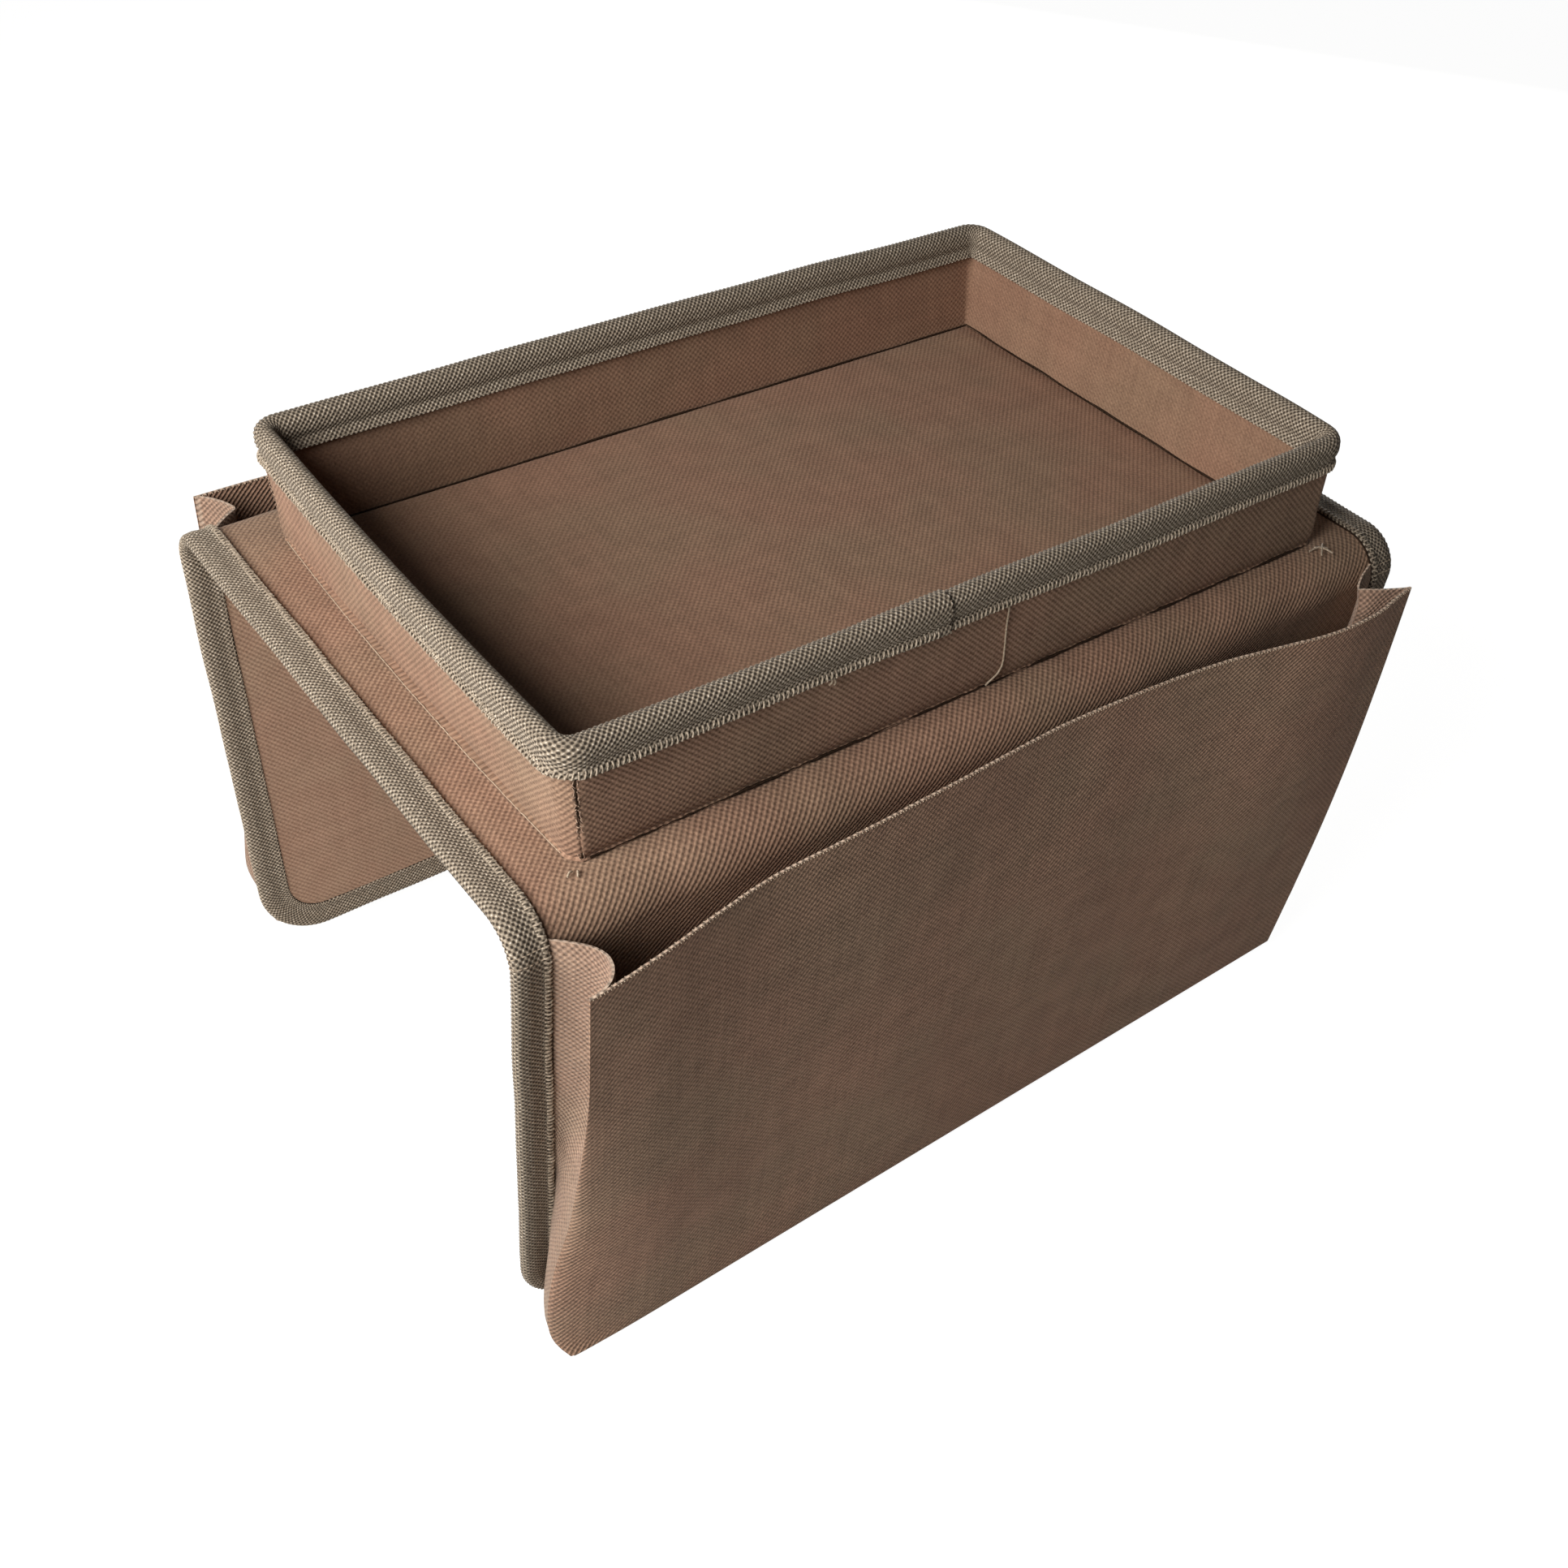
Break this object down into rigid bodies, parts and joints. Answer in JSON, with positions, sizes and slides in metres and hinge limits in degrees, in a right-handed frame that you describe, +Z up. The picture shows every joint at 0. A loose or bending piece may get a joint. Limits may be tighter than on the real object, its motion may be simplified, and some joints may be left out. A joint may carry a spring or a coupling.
{
  "type": "armrest organizer",
  "caption": "Cloth saddle that hangs over a sofa arm, with a boxed tray on top, bound edges and a wide gusseted pocket on each hanging flap.",
  "frame": {"origin": "middle of the saddle's underside, where the lining rests on the sofa arm", "axes": "+X along the arm, -Y towards the front pocket, +Z up"},
  "size_m": [0.368, 0.2841, 0.2505],
  "materials": {
    "cloth": "coffee-brown Oxford cloth with a fine diagonal rib, matt, slightly dusty in the light",
    "lining": "brown lining cloth of the same yarn, smoother, matt",
    "tape": "greige coarse woven binding tape with pale flecks and a light row of stitches",
    "board": "plain stiffener sheet, hidden inside the cloth"
  },
  "bodies": {
    "saddle_top": {"top_cloth": "cloth", "top_board": "board", "top_lining": "lining", "left_end_tape": "tape", "right_end_tape": "tape", "tray_floor_board": "board", "tray_floor_cloth": "cloth", "front_wall_cloth": "cloth", "front_wall_board": "board", "front_wall_lining": "cloth", "right_wall_cloth": "cloth", "right_wall_board": "board", "right_wall_lining": "cloth", "rear_wall_cloth": "cloth", "rear_wall_board": "board", "rear_wall_lining": "cloth", "left_wall_cloth": "cloth", "left_wall_board": "board", "left_wall_lining": "cloth", "rim_tape": "tape", "front_fold_cloth": "cloth", "front_fold_lining": "lining", "front_fold_left_tape": "tape", "front_fold_right_tape": "tape", "rear_fold_cloth": "cloth", "rear_fold_lining": "lining", "rear_fold_left_tape": "tape", "rear_fold_right_tape": "tape"},
    "front_flap": {"front_flap_cloth": "cloth", "front_flap_board": "board", "front_flap_lining": "lining", "front_flap_tape": "tape", "front_pocket_bottom": "cloth", "front_pocket_left_gusset": "cloth", "front_pocket_right_gusset": "cloth"},
    "rear_flap": {"rear_flap_cloth": "cloth", "rear_flap_board": "board", "rear_flap_lining": "lining", "rear_flap_tape": "tape", "rear_pocket_bottom": "cloth", "rear_pocket_left_gusset": "cloth", "rear_pocket_right_gusset": "cloth"},
    "front_pocket": {"front_pocket_panel": "cloth"},
    "rear_pocket": {"rear_pocket_panel": "cloth"}
  },
  "joints": [
    {"name": "front_flap_fold", "type": "hinge", "parent": "saddle_top", "child": "front_flap", "pos_m": [0, -0.11414, -0.00137], "axis": [-1, 0, 0], "range_deg": [-85, 93], "deforming": ["front_fold_cloth", "front_fold_lining", "front_fold_left_tape", "front_fold_right_tape"]},
    {"name": "rear_flap_fold", "type": "hinge", "parent": "saddle_top", "child": "rear_flap", "pos_m": [0, 0.11431, -0.00147], "axis": [1, 0, 0], "range_deg": [-35, 94], "deforming": ["rear_fold_cloth", "rear_fold_lining", "rear_fold_left_tape", "rear_fold_right_tape"]},
    {"name": "front_pocket_open", "type": "hinge", "parent": "front_flap", "child": "front_pocket", "pos_m": [0, -0.12485, -0.19584], "axis": [1, 0, 0], "range_deg": [-1.5, 5], "deforming": ["front_pocket_left_gusset", "front_pocket_right_gusset"]},
    {"name": "rear_pocket_open", "type": "hinge", "parent": "rear_flap", "child": "rear_pocket", "pos_m": [0, 0.11966, -0.20081], "axis": [-1, 0, 0], "range_deg": [-1.5, 5], "deforming": ["rear_pocket_left_gusset", "rear_pocket_right_gusset"]}
  ]
}
